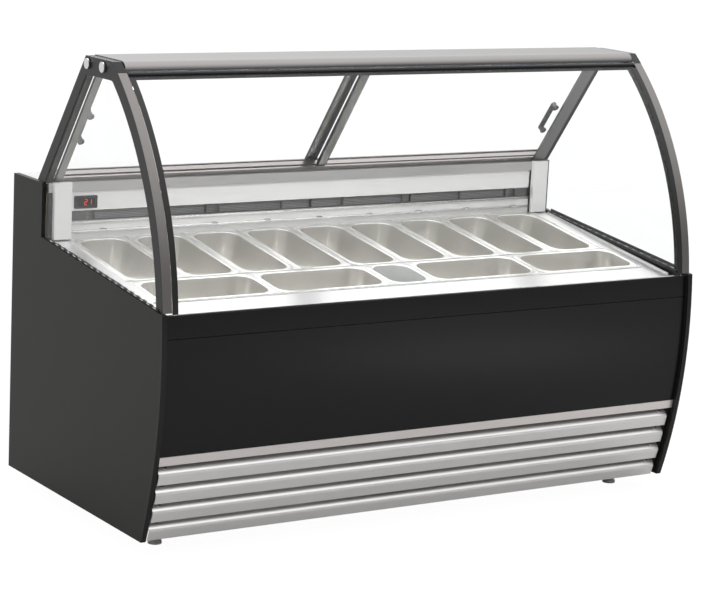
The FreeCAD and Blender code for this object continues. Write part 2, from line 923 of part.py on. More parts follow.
def build_front_glass():
    y, z = hinge_centre()
    glass = new_body("front_glass")
    top = z - 6
    low = d.glass_bottom_z
    deep = d.glass_thickness
    outline = [
        (arch_y(top), top, d.glass_radius),
        (arch_y(low), low),
        (arch_y(low, deep), low, deep - d.glass_radius),
        (arch_y(top, deep), top),
    ]
    along_x(glass, -d.front_glass_x, d.front_glass_x, [outline])

    rail = new_body("front_glass_rail")
    clamp_low = z - d.rail_grip
    clamp_top = z - 2
    inside = deep + 5
    clamp = [
        (arch_y(clamp_top, deep + 0.02), clamp_top, d.glass_radius - deep - 0.02),
        (arch_y(clamp_low, deep + 0.02), clamp_low),
        (arch_y(clamp_low, inside), clamp_low, inside - d.glass_radius),
        (arch_y(clamp_top, inside), clamp_top),
    ]
    along_x(rail, -d.front_glass_x, d.front_glass_x, [clamp])
    along_x(rail, -d.front_glass_x, d.front_glass_x, [], circles=[(y, z, d.hinge_radius)])
    bore = d.pin_radius + d.pin_clearance
    along_x(rail, -d.front_glass_x - 1, -d.front_glass_x + 14, [], circles=[(y, z, bore)], cut=True)
    along_x(rail, d.front_glass_x - 14, d.front_glass_x + 1, [], circles=[(y, z, bore)], cut=True)

    pins = []
    for name, start in (("pin_left", -d.ring_x), ("pin_right", d.ring_x - 15)):
        pins.append(cylinder(name, d.pin_radius, 15, start, y, z, Vector(0, 1, 0), 90))
    group("glass_hinge_pins", pins)


def build_studs():
    pieces = []
    outside = d.side_glass_x + d.glass_thickness
    for index, y in enumerate((12, -78)):
        for side in (-1, 1):
            end = "left" if side < 0 else "right"
            pieces.append(stud(f"stud_{index}_{end}", outside, y, 1258, side))
    group("glass_studs", pieces)


def stud(name, x, y, z, side):
    """A slim neck with a wide cap, standing out from the side glass."""
    neck = cylinder(f"{name}_neck", 7, 3, x * side, y, z, Vector(0, 1, 0), 90 * side)
    cap = cylinder(f"{name}_cap", 14.5, 4, (x + 3) * side, y, z, Vector(0, 1, 0), 90 * side)
    joined = doc.addObject("Part::Fuse", name)
    joined.Base = neck
    joined.Tool = cap
    return joined


def build_canopy():
    body = new_body("canopy_profile")
    top = d.canopy_z
    nose = d.canopy_nose
    t = d.canopy_sheet
    centre = d.canopy_nose_y
    back = d.arch_back_y + 1
    outline = [
        (back, top - t),
        (back, top),
        (centre, top, nose),
        (centre - nose, top - nose),
        (centre - nose + t, top - nose, t - nose),
        (centre, top - t),
    ]
    along_x(body, -d.canopy_x, d.canopy_x, [outline])

    lamp = new_body("led_strip")
    under = top - t
    outline = [
        (-124, under),
        (-124, under - 20),
        (-116, under - 28),
        (-100, under - 28),
        (-94, under - 20),
        (-94, under),
    ]
    along_x(lamp, -d.canopy_x + 3, d.canopy_x - 3, [outline])


def build_gaskets():
    body = new_body("glass_gaskets")
    front, back = -404, 234
    line = [
        (front, side_line(front) - 9),
        (back, side_line(back) - 9),
        (back, side_line(back) - 0.5),
        (front, side_line(front) - 0.5),
    ]
    for start in (-inner, inner - 8):
        along_x(body, start, start + 8, [line])
    top = d.fascia_top_z
    along_x(body, -inner + 2, inner - 2, [rectangle(-442, -434, top, top + 3.5)])
    low, high = side_line(back) + 4, d.worktop_z - 27.5
    post_back = d.duct_y - 6
    for start in (-inner + 0.5, inner - 12.5):
        along_z(body, low, high, [rectangle(start, start + 12, post_back, post_back + 11.5)])


# ---------------------------------------------------------------- doors

def build_door_frame():
    tracks = new_body("door_tracks")
    depth = d.track_depth
    lean_s, lean_c = sine(d.door_lean), cosine(d.door_lean)
    left_groove = (d.left_door_y - 1, d.left_door_y + d.door_glass + 1)
    right_groove = (d.right_door_y - 1, d.right_door_y + d.door_glass + 1)
    top = d.track_top
    floor = d.track_floor
    foot = d.worktop_z - d.door_foot_z
    lower = [
        (0, foot / lean_c),
        (0, top),
        (left_groove[1], top),
        (left_groove[1], floor),
        (left_groove[0], floor),
        (left_groove[0], top),
        (right_groove[1], top),
        (right_groove[1], floor),
        (right_groove[0], floor),
        (right_groove[0], top),
        (-depth, top),
        (-depth, (foot + depth * lean_s) / lean_c),
    ]
    along_x(tracks, -d.canopy_x, d.canopy_x, [lower])
    head = d.track_head
    roof = head + 10
    under = d.canopy_z - d.canopy_sheet - d.door_foot_z
    upper = [
        (0, head),
        (0, under / lean_c),
        (-depth, (under + depth * lean_s) / lean_c),
        (-depth, head),
        (right_groove[0], head),
        (right_groove[0], roof),
        (right_groove[1], roof),
        (right_groove[1], head),
        (left_groove[0], head),
        (left_groove[0], roof),
        (left_groove[1], roof),
        (left_groove[1], head),
    ]
    along_x(tracks, -d.canopy_x, d.canopy_x, [upper])
    on_door(tracks)

    posts = new_body("end_posts")
    for start, width in ((-d.canopy_x, d.left_post), (d.canopy_x - d.right_post, d.right_post)):
        along_z(posts, floor + 2, head + 12, [rectangle(start, start + width, -depth - 9, -depth - 1)])
    on_door(posts)


def build_door(side, near_x, stile, reach):
    """One sliding pane with a metal stile at its meeting edge and a bow handle near the other."""
    name = "left" if side < 0 else "right"
    face = d.left_door_y if side < 0 else d.right_door_y
    outer_x = as_size(836)
    body = new_body(f"{name}_door")
    low, high = d.track_floor + 1, d.track_head + 9
    x0, x1 = (-outer_x, near_x) if side < 0 else (near_x, outer_x)
    along_y(body, face, face + d.door_glass, [rectangle(x0, x1, low, high)])
    on_door(body)

    bar = new_body(f"{name}_door_fittings")
    s0, s1 = stile
    band = rectangle(s0, s1, d.track_top + 2, d.track_head - 2)
    along_y(bar, face - 3, face - 0.02, [band])
    along_y(bar, face + d.door_glass + 0.02, face + d.door_glass + 3, [band])
    edge = rectangle(near_x, s1, d.track_top + 2, d.track_head - 2)
    if side > 0:
        edge = rectangle(s0, near_x, d.track_top + 2, d.track_head - 2)
    along_y(bar, face - 3, face + d.door_glass + 3, [edge])
    add_handle(bar, d.handle_x * side, face, reach)
    on_door(bar)


def add_handle(body, x, face, reach):
    """A flat bow on two round bosses behind the pane, with two caps in front of it."""
    low = d.handle_low
    high = low + d.handle_pitch
    back = face + d.door_glass
    along_y(body, back, back + reach - 4, [], circles=[(x, low, 8), (x, high, 8)])
    bow = rounded(x - 9, x + 9, low - 9, high + 9, 8.8)
    along_y(body, back + reach - 4, back + reach, [bow])
    along_y(body, face - 3.5, face, [], circles=[(x, low, 10), (x, high, 10)])


def build_doors():
    build_door_frame()
    build_door(-1, 13, (-20, 16), 22)
    build_door(1, 15, (12, 40), 12)


# ---------------------------------------------------------------- cooling machine

def fan(label, radius, blades, x, y, z, turn):
    """A hub with drafted straight blades, turning on its own Z axis."""
    body = new_body(label)
    along_z(body, -12, 12, [], circles=[(0, 0, 24)])
    loops = []
    for number in range(blades):
        angle = 360 * number / blades
        tip_angle = angle + 26
        points = []
        for reach, swing in ((20, angle - 8), (radius, angle), (radius, tip_angle), (20, angle + 14)):
            points.append((reach * cosine(swing), reach * sine(swing)))
        loops.append(points)
    for loop in loops:
        along_z(body, -4, 4, [loop])
    return place(body, x, y, z, turn)


def build_machine():
    floor = d.floor_gap + 6
    compressor = new_body("compressor")
    outline = [
        (0, 0),
        (88, 0),
        (88, 150, 88),
        (0, 238),
    ]
    spin(compressor, outline)
    place(compressor, -500, 190, floor)

    condenser = new_body("condenser")
    along_y(condenser, -280, -224, [rectangle(-180, 240, floor, floor + 290)])
    slot = rectangle(-170, -156, floor + 10, floor + 280)
    repeat(condenser, [along_y(condenser, -281, -260, [slot], cut=True)], "X_Axis", 20, 20)

    fan("condenser_fan", as_size(115), 5, 30, -195, floor + 145, 90)

    evaporator = new_body("evaporator")
    along_y(evaporator, 300, 372, [rectangle(-640, 640, d.tank_floor + 30, d.tank_floor + 170)])
    slot = rectangle(-620, -596, d.tank_floor + 40, d.tank_floor + 160)
    repeat(evaporator, [along_y(evaporator, 299, 330, [slot], cut=True)], "X_Axis", 31, 40)

    fan("evaporator_fan", as_size(80), 5, 0, 336, d.tank_floor + 270, 90)


# ---------------------------------------------------------------- assembly

build_side_panels()
build_edge_trims()
build_front()
build_louvre()
build_back()
build_light_switch()
build_base()
build_feet()
build_tank()
build_duct()
build_deck()
build_pans()
build_side_glass()
build_end_frames()
build_front_glass()
build_studs()
build_canopy()
build_gaskets()
build_doors()
build_machine()

doc.recompute()
for item in doc.Objects:
    if "Invalid" in item.State or "Error" in item.State:
        raise RuntimeError(f"{item.Name} failed: {item.State}")
for part in PARTS:
    if part.Shape.isNull() or not part.Shape.isValid():
        raise RuntimeError(f"{part.Label} has no valid shape")

os.makedirs("parts", exist_ok=True)
for part in PARTS:
    part.Shape.exportStep(f"parts/{part.Label}.step")
print(len(PARTS), "sub-parts written")
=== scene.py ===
import json
import math

import bpy
from mathutils import Matrix, Vector

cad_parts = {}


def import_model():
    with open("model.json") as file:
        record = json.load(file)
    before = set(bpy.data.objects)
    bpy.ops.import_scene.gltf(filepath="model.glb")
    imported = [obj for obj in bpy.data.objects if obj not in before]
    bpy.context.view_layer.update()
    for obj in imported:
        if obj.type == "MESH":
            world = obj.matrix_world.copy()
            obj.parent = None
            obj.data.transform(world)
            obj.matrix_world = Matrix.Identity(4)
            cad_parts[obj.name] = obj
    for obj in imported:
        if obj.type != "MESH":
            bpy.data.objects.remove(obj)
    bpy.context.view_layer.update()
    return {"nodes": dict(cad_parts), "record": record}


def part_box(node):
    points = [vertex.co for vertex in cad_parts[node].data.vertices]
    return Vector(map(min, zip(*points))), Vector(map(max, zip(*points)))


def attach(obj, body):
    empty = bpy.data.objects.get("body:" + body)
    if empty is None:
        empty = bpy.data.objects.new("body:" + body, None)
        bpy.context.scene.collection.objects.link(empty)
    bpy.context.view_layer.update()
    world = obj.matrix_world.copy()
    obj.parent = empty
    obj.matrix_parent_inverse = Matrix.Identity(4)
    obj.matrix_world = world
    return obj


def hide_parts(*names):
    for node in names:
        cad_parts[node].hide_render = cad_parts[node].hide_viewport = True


# Curved-glass ice cream display freezer: materials, fine pieces, light and camera around the frame.
# Metres, +Z up, +Y towards the server's side, origin on the floor under the middle of the cabinet.

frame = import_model()
NODES = frame["nodes"]
MM = 0.001

# ---------------------------------------------------------------- driving dimensions

GLASS_CENTRE = (0.435, 0.596)      # Y and Z of the curved glass's axis
GLASS_RADIUS = 0.885
ARCH_TOP = 1.278
ARCH_BACK = (0.029, 1.278)
ARCH_HEEL = (0.309, 0.901)
DECK_ORIGIN = Vector((0, -0.286, 0.665))
DECK_SLOPE = math.radians(8)
SIDE_GLASS_FACE = 0.868
FRONT_GLASS_HALF = 0.839
REAR_PITCH = 0.1775                # between the middles of neighbouring rear pans
SEAL_FOOT = (-0.454, 0.668)        # Y and Z at the low end of an end pane's foot
SEAL_HEAD = (0.265, 0.748)         # and at its high end


# ---------------------------------------------------------------- materials

class Look:
    """A Principled material with short calls for the nodes that vary its surface."""

    def __init__(self, name, color, rough, metal=0.0, **sockets):
        self.material = bpy.data.materials.new(name)
        self.material.use_nodes = True
        self.tree = self.material.node_tree
        self.shader = self.tree.nodes["Principled BSDF"]
        self.color = color
        self.rough = rough
        self.shader.inputs["Base Color"].default_value = (*color, 1)
        self.shader.inputs["Roughness"].default_value = rough
        self.shader.inputs["Metallic"].default_value = metal
        for socket, value in sockets.items():
            self.shader.inputs[socket.replace("_", " ")].default_value = value
        self.place = self.add("ShaderNodeTexCoord").outputs["Object"]

    def add(self, kind, **settings):
        node = self.tree.nodes.new(kind)
        for key, value in settings.items():
            setattr(node, key, value)
        return node

    def link(self, output, target):
        self.tree.links.new(output, target)

    def stretched(self, scale):
        node = self.add("ShaderNodeMapping")
        node.inputs["Scale"].default_value = scale
        self.link(self.place, node.inputs["Vector"])
        return node.outputs["Vector"]

    def noise(self, scale, stretch=(1, 1, 1), detail=4.0, roughness=0.55):
        node = self.add("ShaderNodeTexNoise")
        node.inputs["Scale"].default_value = scale
        node.inputs["Detail"].default_value = detail
        node.inputs["Roughness"].default_value = roughness
        self.link(self.stretched(stretch), node.inputs["Vector"])
        return node.outputs["Fac"]

    def cells(self, scale):
        node = self.add("ShaderNodeTexVoronoi", feature="F1")
        node.inputs["Scale"].default_value = scale
        self.link(self.place, node.inputs["Vector"])
        return node

    def between(self, value, low, high):
        node = self.add("ShaderNodeMapRange")
        node.inputs["To Min"].default_value = low
        node.inputs["To Max"].default_value = high
        self.link(value, node.inputs["Value"])
        return node.outputs["Result"]

    def vary_color(self, value, dark, light):
        """Base colour runs between dark and light times the material's own colour."""
        ramp = self.add("ShaderNodeValToRGB")
        ramp.color_ramp.elements[0].position = 0.25
        ramp.color_ramp.elements[1].position = 0.75
        ramp.color_ramp.elements[0].color = (*(c * dark for c in self.color), 1)
        ramp.color_ramp.elements[1].color = (*(min(c * light, 1) for c in self.color), 1)
        self.link(value, ramp.inputs["Fac"])
        self.link(ramp.outputs["Color"], self.shader.inputs["Base Color"])

    def vary_rough(self, value, spread):
        result = self.between(value, max(self.rough - spread, 0.02), self.rough + spread)
        self.link(result, self.shader.inputs["Roughness"])

    def bump(self, value, depth, strength=0.3):
        node = self.add("ShaderNodeBump")
        node.inputs["Distance"].default_value = depth
        node.inputs["Strength"].default_value = strength
        self.link(value, node.inputs["Height"])
        self.link(node.outputs["Normal"], self.shader.inputs["Normal"])


def brushed(name, color, rough, stretch, shade=0.05, bump=0.05, metal=1.0):
    """Sheet metal with a grain along one axis and faint handling marks."""
    look = Look(name, color, rough, metal=metal)
    grain = look.noise(60, stretch, detail=6)
    cloud = look.noise(3.0, detail=3)
    look.vary_color(grain, 1 - shade, 1 + shade * 0.6)
    look.vary_rough(cloud, 0.04)
    look.bump(grain, 0.0002, bump)
    return look.material


def coated(name, color, rough, texture=900, bump=0.08, **sockets):
    """Powder coat or laminate with a fine even texture and slight cloudiness."""
    look = Look(name, color, rough, **sockets)
    fine = look.noise(texture, detail=2)
    cloud = look.noise(2.2, detail=3)
    look.vary_color(cloud, 0.92, 1.08)
    look.vary_rough(fine, 0.05)
    look.bump(fine, 0.0003, bump)
    return look.material


def clear_glass(name, tint, rough=0.0):
    """Float glass that lets lamp light through without caustics."""
    look = Look(name, tint, rough, Transmission_Weight=1.0, IOR=1.2)
    clear = look.add("ShaderNodeBsdfTransparent")
    clear.inputs["Color"].default_value = (0.975, 0.985, 0.98, 1)
    path = look.add("ShaderNodeLightPath")
    mix = look.add("ShaderNodeMixShader")
    look.link(path.outputs["Is Shadow Ray"], mix.inputs["Fac"])
    look.link(look.shader.outputs["BSDF"], mix.inputs[1])
    look.link(clear.outputs["BSDF"], mix.inputs[2])
    output = look.tree.nodes["Material Output"]
    look.link(mix.outputs["Shader"], output.inputs["Surface"])
    smear = look.noise(6, detail=5)
    look.link(look.between(smear, 0.0, 0.02), look.shader.inputs["Roughness"])
    return look.material


def glowing(name, color, strength, base):
    """A lit diffuser or segment with a slight unevenness."""
    look = Look(name, base, 0.4)
    look.shader.inputs["Emission Color"].default_value = (*color, 1)
    look.shader.inputs["Emission Strength"].default_value = strength
    look.vary_rough(look.noise(400), 0.08)
    return look.material


def galvanised(name):
    look = Look(name, (0.50, 0.51, 0.52), 0.42, metal=0.85)
    flakes = look.cells(110)
    look.vary_color(flakes.outputs["Distance"], 0.95, 1.03)
    look.vary_rough(look.noise(25), 0.1)
    look.bump(look.noise(300), 0.0002, 0.1)
    return look.material


def foam(name):
    look = Look(name, (0.80, 0.70, 0.45), 0.9)
    holes = look.cells(260)
    look.vary_color(look.noise(12), 0.9, 1.08)
    look.bump(holes.outputs["Distance"], 0.001, 0.4)
    return look.material


ALONG_X = (0.05, 22, 22)
LOOKS = {
    "black_panel": coated("black_panel", (0.0035, 0.0035, 0.0037), 0.30, 700, 0.04, Specular_IOR_Level=0.28),
    "side_black": coated("side_black", (0.0105, 0.0100, 0.0086), 0.46, 1100, 0.10, Specular_IOR_Level=0.28),
    "trim_black": coated("trim_black", (0.006, 0.006, 0.006), 0.22, 500, 0.03, Specular_IOR_Level=0.30),
    "stainless": brushed("stainless", (0.86, 0.85, 0.835), 0.27, ALONG_X, 0.04, 0.03, 0.85),
    "stainless_strip": brushed("stainless_strip", (0.80, 0.755, 0.735), 0.40, ALONG_X, 0.04, 0.03, 0.85),
    "pan_steel": brushed("pan_steel", (0.87, 0.855, 0.825), 0.25, (1, 1, 1), 0.02, 0.004, 0.92),
    "aluminium_grey": brushed("aluminium_grey", (0.34, 0.32, 0.315), 0.34, (5, 5, 0.03), 0.06, 0.05),
    "frame_black": coated("frame_black", (0.012, 0.012, 0.012), 0.36, 900, 0.06, Specular_IOR_Level=0.35),
    "glass": clear_glass("glass", (0.996, 1.0, 0.998)),
    "gasket": coated("gasket", (0.015, 0.015, 0.015), 0.65, 300, 0.15),
    "chrome": brushed("chrome", (0.82, 0.82, 0.82), 0.10, (1, 1, 1), 0.03, 0.02),
    "dark_plastic": coated("dark_plastic", (0.02, 0.02, 0.022), 0.45, 800, 0.08),
    "lamp": coated("lamp", (0.10, 0.12, 0.15), 0.35, 400, 0.05),
    "foam": foam("foam"),
    "galvanised": galvanised("galvanised"),
    "machine_black": coated("machine_black", (0.012, 0.012, 0.013), 0.28, 350, 0.12),
    "fan_plastic": coated("fan_plastic", (0.03, 0.03, 0.03), 0.5, 500, 0.06),
}
MIRROR_STEEL = brushed("mirror_steel", (0.88, 0.88, 0.87), 0.14, (1, 1, 1), 0.02, 0.02, 0.80)
WALL_STEEL = brushed("wall_steel", (0.95, 0.94, 0.925), 0.36, ALONG_X, 0.04, 0.03, 0.35)
BENCH_STEEL = brushed("bench_steel", (0.60, 0.59, 0.58), 0.34, ALONG_X, 0.04, 0.03, 0.85)
DECK_STEEL = brushed("deck_steel", (0.70, 0.695, 0.69), 0.30, ALONG_X, 0.04, 0.03, 0.85)
# Dark steel for the air slot's grille and vanes: painted shade that stands in for the shade inside the deep
# slot.
SLOT_STEEL_PAINTED_SHADE = brushed("slot_steel_painted_shade", (0.20, 0.20, 0.20), 0.45, ALONG_X, 0.04, 0.03)
SLAT_STEEL = brushed("slat_steel", (0.83, 0.82, 0.81), 0.30, ALONG_X, 0.03, 0.02, 0.80)
FOOT_STEEL = brushed("foot_steel", (0.85, 0.84, 0.82), 0.35, (1, 1, 1), 0.03, 0.02, 0.5)
DARK_ALUMINIUM = brushed("dark_aluminium", (0.20, 0.19, 0.185), 0.40, (5, 5, 0.03), 0.06, 0.04)
POST_ALUMINIUM = brushed("post_aluminium", (0.22, 0.22, 0.22), 0.33, (5, 5, 0.03), 0.06, 0.04)
CANOPY_METAL = brushed("canopy_metal", (0.25, 0.24, 0.238), 0.24, ALONG_X, 0.05, 0.04)
DOOR_METAL = brushed("door_metal", (0.16, 0.16, 0.16), 0.20, (1, 1, 1), 0.04, 0.03)
RED_SEGMENT = glowing("red_segment", (1.0, 0.04, 0.03), 1.3, (0.3, 0.01, 0.01))
LED_POINT = glowing("led_point", (0.93, 0.96, 1.0), 80.0, (0.9, 0.95, 1.0))
OWN_LOOK = {
    "rear_duct_panel": WALL_STEEL,
    "rear_worktop": BENCH_STEEL,
    "corner_posts": WALL_STEEL,
    "arch_strips": DARK_ALUMINIUM,
    "end_posts": POST_ALUMINIUM,
    "canopy_profile": CANOPY_METAL,
    "left_door_fittings": DOOR_METAL,
    "right_door_fittings": DOOR_METAL,
    # the grille's dark steel is painted shade for the slot's recess
    "air_grille": SLOT_STEEL_PAINTED_SHADE,
    "deck_frame": DECK_STEEL,
    "pan_support_bars": DECK_STEEL,
    "louvre_slats": SLAT_STEEL,
}

SLOT_OF = {entry["node"]: entry["material_slot"] for entry in frame["record"]["subparts"]}


def wear(obj, material):
    obj.data.materials.clear()
    obj.data.materials.append(material)


def smooth_by_angle(mesh, degrees=35):
    """Smooth shading with edges sharper than the limit kept crisp."""
    limit = math.radians(degrees)
    mesh.polygons.foreach_set("use_smooth", [True] * len(mesh.polygons))
    faces = {}
    for polygon in mesh.polygons:
        for key in polygon.edge_keys:
            faces.setdefault(key, []).append(polygon.normal)
    sharp = mesh.attributes.get("sharp_edge") or mesh.attributes.new("sharp_edge", "BOOLEAN", "EDGE")
    for edge in mesh.edges:
        normals = faces.get(tuple(edge.key), [])
        crisp = len(normals) != 2 or normals[0].angle(normals[1], 0) > limit
        sharp.data[edge.index].value = crisp


for corner in ("front_left", "front_right", "back_left", "back_right"):
    OWN_LOOK[f"foot_{corner}"] = FOOT_STEEL
for node_name, node in NODES.items():
    for index in range(len(node.material_slots)):
        node.material_slots[index].material = OWN_LOOK.get(node_name, LOOKS[SLOT_OF[node_name]])

# ---------------------------------------------------------------- mesh helpers


def piece(name, points, faces, body, material, smooth=True):
    """A mesh piece that rides on a body."""
    mesh = bpy.data.meshes.new(name)
    mesh.from_pydata([tuple(p) for p in points], [], faces)
    mesh.update()
    mesh.validate()
    if smooth:
        smooth_by_angle(mesh)
    obj = bpy.data.objects.new(name, mesh)
    bpy.context.scene.collection.objects.link(obj)
    wear(obj, material)
    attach(obj, body)
    return obj


class Builder:
    """Collects boxes and lofted skins into one mesh."""

    def __init__(self):
        self.points = []
        self.faces = []

    def add(self, points, faces):
        base = len(self.points)
        self.points += [Vector(p) for p in points]
        self.faces += [tuple(base + index for index in face) for face in faces]

    def box(self, low, high, turn=None):
        corners = []
        for x in (low[0], high[0]):
            for y in (low[1], high[1]):
                for z in (low[2], high[2]):
                    corners.append(Vector((x, y, z)))
        if turn is not None:
            corners = [turn @ corner for corner in corners]
        faces = [(0, 1, 3, 2), (4, 6, 7, 5), (0, 4, 5, 1), (2, 3, 7, 6), (0, 2, 6, 4), (1, 5, 7, 3)]
        self.add(corners, faces)

    def loft(self, rings, cap_start=True, cap_end=True):
        """A closed skin through rings of equal length."""
        base = len(self.points)
        count = len(rings[0])
        for ring in rings:
            self.points += [Vector(p) for p in ring]
        for level in range(len(rings) - 1):
            for index in range(count):
                follow = (index + 1) % count
                low = base + level * count
                self.faces.append((low + index, low + follow, low + count + follow, low + count + index))
        if cap_start:
            self.faces.append(tuple(base + index for index in reversed(range(count))))
        if cap_end:
            top = base + (len(rings) - 1) * count
            self.faces.append(tuple(top + index for index in range(count)))

    def finish(self, name, body, material, smooth=True):
        return piece(name, self.points, self.faces, body, material, smooth)


def arch_point(angle, radius=GLASS_RADIUS):
    """Y and Z on the curved glass at an angle above its axis."""
    return GLASS_CENTRE[0] - radius * math.cos(angle), GLASS_CENTRE[1] + radius * math.sin(angle)


def arch_angle(z, radius=GLASS_RADIUS):
    return math.asin((z - GLASS_CENTRE[1]) / radius)


def resample(points, count):
    """The same open line with evenly spaced points."""
    lengths = [0.0]
    for a, b in zip(points, points[1:]):
        lengths.append(lengths[-1] + math.dist(a, b))
    result = []
    segment = 0
    for index in range(count):
        target = lengths[-1] * index / (count - 1)
        while segment < len(points) - 2 and lengths[segment + 1] < target:
            segment += 1
        span = lengths[segment + 1] - lengths[segment]
        share = (target - lengths[segment]) / span if span else 0
        a, b = points[segment], points[segment + 1]
        result.append((a[0] + (b[0] - a[0]) * share, a[1] + (b[1] - a[1]) * share))
    return result


def rounded_corner(before, corner, after, radius, steps=6):
    """Points of a fillet at a corner between two straight directions."""
    a = (Vector(before) - Vector(corner)).normalized()
    b = (Vector(after) - Vector(corner)).normalized()
    half = a.angle(b) / 2
    reach = radius / math.tan(half)
    start = Vector(corner) + a * reach
    end = Vector(corner) + b * reach
    points = []
    for index in range(steps + 1):
        t = index / steps
        point = start * (1 - t) ** 2 + Vector(corner) * (2 * t * (1 - t)) + end * t * t
        points.append((point.x, point.y))
    return points


# ---------------------------------------------------------------- glass borders

BORDER_FRONT = 0.038
BORDER_TOP = 0.050
BORDER_BACK = 0.034
FILM = 0.0004


def lean_y(z, inset=0.0):
    """Y of the arch's leaning back edge at height z, set inwards by inset."""
    run = (ARCH_BACK[0] - ARCH_HEEL[0]) / (ARCH_BACK[1] - ARCH_HEEL[1])
    return ARCH_HEEL[0] + (z - ARCH_HEEL[1]) * run - inset / math.cos(math.atan(-run))


def side_border_lines():
    """Outer and inner edge of the printed band on an end pane."""
    foot = 0.6705
    rounding = 0.012
    heel = ARCH_HEEL[1] + 0.0005
    rim = GLASS_RADIUS - 0.0025
    outer = [arch_point(a, rim) for a in spread(arch_angle(foot, rim), arch_angle(ARCH_TOP, rim), 40)]
    outer += [ARCH_BACK, (lean_y(heel), heel)]
    deep = GLASS_RADIUS - BORDER_FRONT
    under = ARCH_TOP - BORDER_TOP
    front = [arch_point(a, deep) for a in spread(arch_angle(foot + 0.005, deep), arch_angle(under, deep), 40)]
    back_top = (lean_y(under, BORDER_BACK), under)
    back_low = (lean_y(heel, BORDER_BACK), heel)
    first = rounded_corner(front[-4], front[-1], back_top, rounding)
    second = rounded_corner(front[-1], back_top, back_low, rounding)
    inner = front[:-3] + first + second + [back_low]
    return outer, inner


def spread(start, end, count):
    return [start + (end - start) * index / (count - 1) for index in range(count)]


def side_borders():
    outer, inner = side_border_lines()
    count = 120
    outer, inner = resample(outer, count), resample(inner, count)
    for side, label in ((-1, "left"), (1, "right")):
        builder = Builder()
        near, far = SIDE_GLASS_FACE * side, (SIDE_GLASS_FACE + FILM) * side
        for x, flip in ((near, side > 0), (far, side < 0)):
            base = len(builder.points)
            builder.points += [Vector((x, y, z)) for y, z in outer + inner]
            for index in range(count - 1):
                face = (base + index, base + index + 1, base + count + index + 1, base + count + index)
                builder.faces.append(face if flip else face[::-1])
        total = 2 * count
        ring = list(range(count)) + [count + index for index in reversed(range(count))]
        for index, number in enumerate(ring):
            follow = ring[(index + 1) % len(ring)]
            face = (number, follow, total + follow, total + number)
            builder.faces.append(face if side > 0 else face[::-1])
        builder.finish(f"{label}_pane_border", "cabinet", LOOKS["frame_black"])


def front_borders():
    """Printed bands along the sides of the curved front glass."""
    low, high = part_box("front_glass")
    radius = GLASS_RADIUS + FILM
    angles = spread(arch_angle(low.z + 0.002), arch_angle(high.z - 0.001), 48)
    width = 0.0175
    reach = FRONT_GLASS_HALF + 0.0025
    builder = Builder()
    for start in (-reach, reach - width):
        rings = []
        for angle in angles:
            (y0, z0), (y1, z1) = arch_point(angle), arch_point(angle, radius)
            rings.append([(start, y0, z0), (start + width, y0, z0), (start + width, y1, z1), (start, y1, z1)])
        builder.loft(rings)
    builder.finish("front_glass_border", "glass_leaf", LOOKS["frame_black"])


side_borders()
front_borders()

# ---------------------------------------------------------------- pans

PAN_LEVELS = (
    # inset from the rim's edge, height above the deck
    (0.5, 0.15), (0.0, 0.6), (0.3, 1.05), (1.2, 1.2), (6.0, 1.2), (8.6, 1.15), (9.6, 0.75), (10.3, -0.3),
    (10.7, -2.0), (10.95, -5.0), (14.0, -60.0), (15.9, -99.0), (16.9, -106.5), (18.9, -112.0), (22.3, -116.2),
    (27.0, -118.4), (33.0, -118.8),
)
RIM_CORNER = 24.0
TUB_CORNER = 42.0
RIM_WIDTH = 10.0
PAN_SHEET = 0.9 * MM


def rounded_ring(half_x, half_y, radius, steps=8):
    ring = []
    for quarter, (sx, sy) in enumerate(((1, -1), (1, 1), (-1, 1), (-1, -1))):
        centre = (sx * (half_x - radius), sy * (half_y - radius))
        for step in range(steps + 1):
            angle = math.radians(-90 + 90 * quarter + 90 * step / steps)
            ring.append((centre[0] + radius * math.cos(angle), centre[1] + radius * math.sin(angle)))
    return ring


def deck_turn(u, v):
    """From a pan's own frame, millimetres, to the row frame."""
    turn = Matrix.Rotation(DECK_SLOPE, 4, "X")
    spot = DECK_ORIGIN + turn @ Vector((u, v, 0))
    return Matrix.Translation(spot) @ turn @ Matrix.Scale(MM, 4)


def pan_middle(node):
    """Middle of a pan's rim on the deck, and its half sizes in millimetres."""
    turn = Matrix.Rotation(-DECK_SLOPE, 3, "X")
    local = [turn @ (vertex.co - DECK_ORIGIN) for vertex in NODES[node].data.vertices]
    xs = [p.x for p in local]
    ys = [p.y for p in local]
    middle = ((min(xs) + max(xs)) / 2, (min(ys) + max(ys)) / 2)
    return middle, (max(xs) - min(xs)) / 2 / MM, (max(ys) - min(ys)) / 2 / MM


def build_pan(node):
    (u, v), half_x, half_y = pan_middle(node)
    place = deck_turn(u, v)
    rings = []
    for inset, height in PAN_LEVELS:
        share = min(inset / RIM_WIDTH, 1.0)
        corner = RIM_CORNER + (TUB_CORNER - RIM_CORNER) * share - max(inset - RIM_WIDTH, 0)
        outline = rounded_ring(half_x - inset, half_y - inset, corner)
        rings.append([place @ Vector((x, y, height)) for x, y in outline])
    builder = Builder()
    builder.loft(rings, cap_start=False)
    material = MIRROR_STEEL if node == "small_pan" else LOOKS["pan_steel"]
    obj = builder.finish(f"{node}_drawn", SLOT_BODY[node], material)
    thicken(obj, PAN_SHEET)
    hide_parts(node)


def thicken(obj, thickness):
    """Give an open skin a back face and apply it."""
    modifier = obj.modifiers.new("wall", "SOLIDIFY")
    modifier.thickness = thickness
    modifier.offset = -1
    graph = bpy.context.evaluated_depsgraph_get()
    solid = bpy.data.meshes.new_from_object(obj.evaluated_get(graph))
    obj.modifiers.clear()
    name = obj.data.name
    old = obj.data
    obj.data = solid
    bpy.data.meshes.remove(old)
    solid.name = name
    smooth_by_angle(solid, 40)


SLOT_BODY = {}
for body_name, members in frame["record"]["behaviour"]["bodies"].items():
    for member in members:
        SLOT_BODY[member] = body_name
PANS = [f"rear_pan_{n}" for n in range(1, 10)] + [f"front_pan_{n}" for n in range(1, 5)] + ["small_pan"]
for pan in PANS:
    build_pan(pan)

